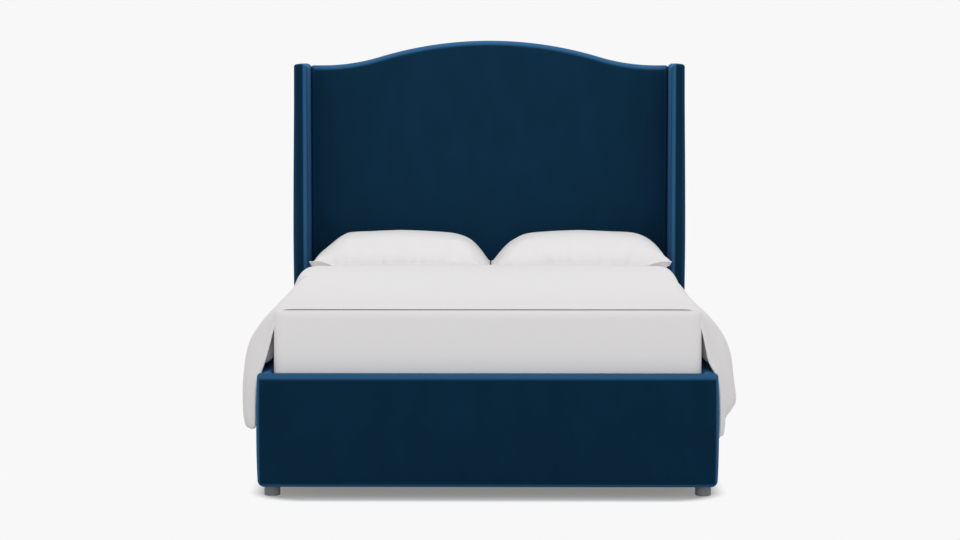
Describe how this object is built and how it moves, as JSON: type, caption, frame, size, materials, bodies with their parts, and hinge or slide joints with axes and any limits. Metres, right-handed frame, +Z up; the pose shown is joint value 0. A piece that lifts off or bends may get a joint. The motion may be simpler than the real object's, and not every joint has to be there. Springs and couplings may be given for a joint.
{
  "type": "wingback bed",
  "caption": "Upholstered platform bed with a camelback headboard between two wings, padded rails, slats, mattress, duvet and pillows.",
  "frame": {"origin": "on the floor, under the middle of the bed's outer box", "axes": "+Z up, +Y towards the headboard, +X to the right as seen from the foot"},
  "size_m": [1.786, 2.194, 1.619],
  "materials": {
    "blue_velvet": "navy cotton velvet, short pile",
    "white_cotton": "white cotton percale",
    "ticking": "white knitted mattress ticking",
    "foam": "cream upholstery foam",
    "pine": "planed pine",
    "plywood": "sanded poplar plywood",
    "zinc_steel": "zinc-plated steel",
    "grey_plastic": "grey moulded plastic"
  },
  "bodies": {
    "frame": {"back_left_foot": "grey_plastic", "back_right_foot": "grey_plastic", "beam_foot_hanger": "zinc_steel", "beam_head_hanger": "zinc_steel", "beam_screws": "zinc_steel", "bed_bolts": "zinc_steel", "centre_beam": "pine", "centre_leg_1": "pine", "centre_leg_2": "pine", "foot_rail_board": "pine", "foot_rail_cover": "blue_velvet", "foot_rail_foam": "foam", "front_left_foot": "grey_plastic", "front_left_foot_block": "plywood", "front_right_foot": "grey_plastic", "front_right_foot_block": "plywood", "headboard_back_cover": "blue_velvet", "headboard_bearer": "pine", "headboard_crest_rail": "pine", "headboard_foam": "foam", "headboard_front_cover": "blue_velvet", "headboard_left_post": "pine", "headboard_lower_rail": "pine", "headboard_middle_rail": "pine", "headboard_plywood": "plywood", "headboard_right_post": "pine", "ledger_screws": "zinc_steel", "left_foot_bracket": "zinc_steel", "left_head_bracket": "zinc_steel", "left_side_rail_board": "pine", "left_side_rail_cover": "blue_velvet", "left_side_rail_foam": "foam", "left_slat_ledger": "pine", "left_wing_board": "pine", "left_wing_cover": "blue_velvet", "left_wing_foam": "foam", "right_foot_bracket": "zinc_steel", "right_head_bracket": "zinc_steel", "right_side_rail_board": "pine", "right_side_rail_cover": "blue_velvet", "right_side_rail_foam": "foam", "right_slat_ledger": "pine", "right_wing_board": "pine", "right_wing_cover": "blue_velvet", "right_wing_foam": "foam", "slat_screws": "zinc_steel", "slats": "pine", "wing_bolts": "zinc_steel"},
    "mattress": {"mattress_core": "foam", "mattress_cover": "ticking", "bottom_sheet": "white_cotton"},
    "duvet": {"duvet": "white_cotton"},
    "left_pillow": {"left_pillow": "white_cotton"},
    "right_pillow": {"right_pillow": "white_cotton"},
    "levelling_glide_1": {"levelling_glide_1": "zinc_steel"},
    "levelling_glide_2": {"levelling_glide_2": "zinc_steel"}
  },
  "joints": [
    {"name": "mattress_lift", "type": "slide", "parent": "frame", "child": "mattress", "axis": [0, 0, 1], "range_m": [0, 0.35]},
    {"name": "duvet_lift", "type": "slide", "parent": "mattress", "child": "duvet", "axis": [0, 0, 1], "range_m": [0, 0.3]},
    {"name": "left_pillow_lift", "type": "slide", "parent": "mattress", "child": "left_pillow", "axis": [0, 0, 1], "range_m": [0, 0.3]},
    {"name": "right_pillow_lift", "type": "slide", "parent": "mattress", "child": "right_pillow", "axis": [0, 0, 1], "range_m": [0, 0.3]},
    {"name": "levelling_glide_1_screw", "type": "slide", "parent": "frame", "child": "levelling_glide_1", "axis": [0, 0, 1], "range_m": [0, 0.012]},
    {"name": "levelling_glide_2_screw", "type": "slide", "parent": "frame", "child": "levelling_glide_2", "axis": [0, 0, 1], "range_m": [0, 0.012]}
  ]
}
